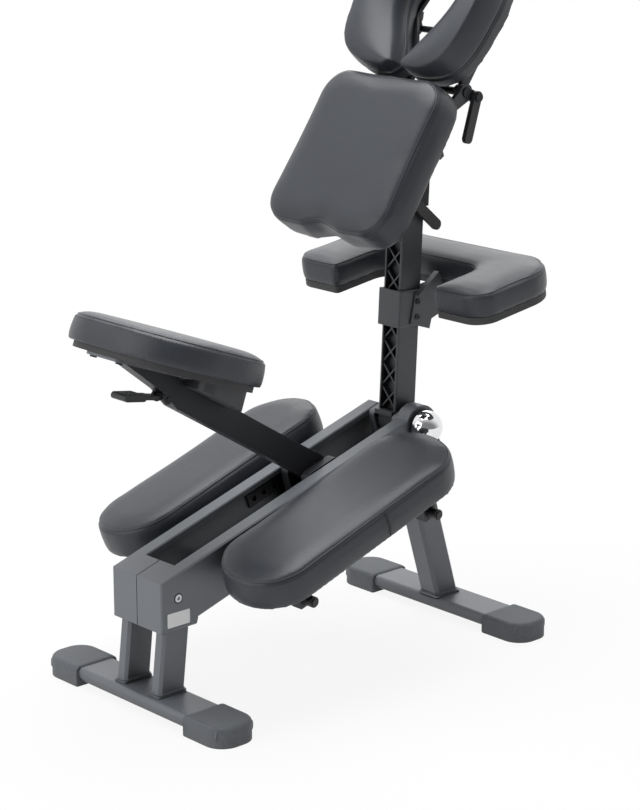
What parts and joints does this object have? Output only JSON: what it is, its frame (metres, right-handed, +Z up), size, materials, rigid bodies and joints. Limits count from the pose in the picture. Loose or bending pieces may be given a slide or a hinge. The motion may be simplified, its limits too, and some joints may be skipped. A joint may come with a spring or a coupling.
{
  "type": "portable massage chair",
  "caption": "Portable massage chair: sloped split beam on two feet, sprung-latch seat arm, padded knee rests, folding column with armrest, chest pad and face cradle.",
  "frame": {"origin": "floor level, at the middle of the chair's overall length and width", "axes": "+Z up, +Y the way the sitter faces, +X towards the side with the lock knob"},
  "size_m": [0.5246, 0.8828, 1.2902],
  "materials": {
    "pad_leather": "soft satin artificial leather",
    "pad_board": "dark painted plywood",
    "frame_paint": "fine powder coat, dark grey",
    "fitting_paint": "fine powder coat, deeper grey",
    "black_paint": "satin black powder coat",
    "rubber": "matt moulded rubber",
    "black_plastic": "matt moulded plastic",
    "chrome": "polished chrome",
    "steel": "zinc plated steel",
    "white_plate": "blank white film plate"
  },
  "bodies": {
    "base": {"front_foot_tube": "frame_paint", "front_foot_cap_right": "rubber", "front_foot_cap_left": "rubber", "rear_foot_tube": "frame_paint", "rear_foot_cap_right": "rubber", "rear_foot_cap_left": "rubber", "front_post_right": "frame_paint", "front_post_left": "frame_paint", "rear_leg": "frame_paint", "weld_plates": "frame_paint", "leg_bracket": "frame_paint", "beam_half_right": "frame_paint", "beam_half_left": "frame_paint", "hinge_cheeks": "frame_paint", "column_hinge_pin": "steel", "beam_bolts": "steel", "blank_plate": "white_plate", "seat_rack": "black_paint", "knee_pad_right": "pad_leather", "knee_pad_left": "pad_leather", "knee_board_right": "pad_board", "knee_board_left": "pad_board", "knee_bars": "black_paint", "knee_bar_plugs": "black_plastic", "knee_saddles": "black_plastic"},
    "carriage": {"seat_carriage": "black_paint", "seat_pivot_pin": "steel", "carriage_glides": "black_plastic"},
    "seat": {"seat_arm": "black_paint", "seat_arm_bushes": "black_plastic", "seat_mount_plate": "frame_paint", "seat_housing": "fitting_paint", "seat_board": "pad_board", "seat_pad": "pad_leather", "seat_screws": "black_paint", "lever_pin": "black_paint"},
    "release_lever": {"seat_release_lever": "black_plastic"},
    "column": {"column": "fitting_paint", "column_bushes": "black_plastic", "column_back_strip": "black_plastic"},
    "lock_knob": {"column_lock_knob": "chrome"},
    "armrest": {"armrest_sleeve": "fitting_paint", "armrest_bracket": "fitting_paint", "armrest_board": "pad_board", "armrest_pad": "pad_leather", "armrest_screws": "black_paint"},
    "chest_slider": {"chest_sleeve": "black_paint", "chest_pin": "black_paint", "clamp_stud": "black_paint"},
    "clamp_lever": {"chest_clamp_lever": "black_plastic"},
    "chest": {"chest_bracket": "black_paint", "chest_board": "pad_board", "chest_pad": "pad_leather", "cradle_supports": "fitting_paint", "cradle_shafts": "black_paint"},
    "cam_lever": {"cradle_cam_lever": "black_plastic"},
    "yoke": {"cradle_yoke": "fitting_paint", "cradle_tilt_shaft": "black_paint"},
    "cradle": {"cradle_platform": "black_paint", "cradle_cushion": "pad_leather"}
  },
  "joints": [
    {"name": "seat_slide", "type": "slide", "parent": "base", "child": "carriage", "axis": [0, 0.9563, 0.2924], "range_m": [-0.06, 0]},
    {"name": "seat_raise", "type": "hinge", "parent": "carriage", "child": "seat", "pos_m": [0, 0.0244, 0.35], "axis": [1, 0, 0], "range_deg": [-4, 34.5]},
    {"name": "release_lift", "type": "hinge", "parent": "seat", "child": "release_lever", "pos_m": [0, -0.3076, 0.538], "axis": [1, 0, 0], "range_deg": [-9, 0], "stiffness_Nm_per_rad": 0.6},
    {"name": "column_fold", "type": "hinge", "parent": "base", "child": "column", "pos_m": [0, 0.2374, 0.397], "axis": [1, 0, 0], "range_deg": [-8, 32]},
    {"name": "knob_turn", "type": "hinge", "parent": "base", "child": "lock_knob", "pos_m": [0, 0.2374, 0.397], "axis": [1, 0, 0], "continuous": true},
    {"name": "armrest_height", "type": "slide", "parent": "column", "child": "armrest", "axis": [0, 0.0489, 0.9988], "range_m": [-0.08, 0.03]},
    {"name": "chest_height", "type": "slide", "parent": "column", "child": "chest_slider", "axis": [0, 0.0489, 0.9988], "range_m": [-0.02, 0.03]},
    {"name": "clamp_release", "type": "hinge", "parent": "chest_slider", "child": "clamp_lever", "pos_m": [0, 0.2444, 0.803], "axis": [1, 0, 0], "range_deg": [0, 60]},
    {"name": "chest_tilt", "type": "hinge", "parent": "chest_slider", "child": "chest", "pos_m": [0, 0.198, 0.8574], "axis": [1, 0, 0], "range_deg": [-12, 12]},
    {"name": "cam_release", "type": "hinge", "parent": "chest", "child": "cam_lever", "pos_m": [0, 0.3174, 0.99], "axis": [1, 0, 0], "range_deg": [0, 70]},
    {"name": "cradle_angle", "type": "hinge", "parent": "chest", "child": "yoke", "pos_m": [0, 0.2974, 0.999], "axis": [1, 0, 0], "range_deg": [-30, 0]},
    {"name": "cradle_tilt", "type": "hinge", "parent": "yoke", "child": "cradle", "pos_m": [0, 0.36323, 1.08961], "axis": [1, 0, 0], "range_deg": [-15, 0]}
  ]
}
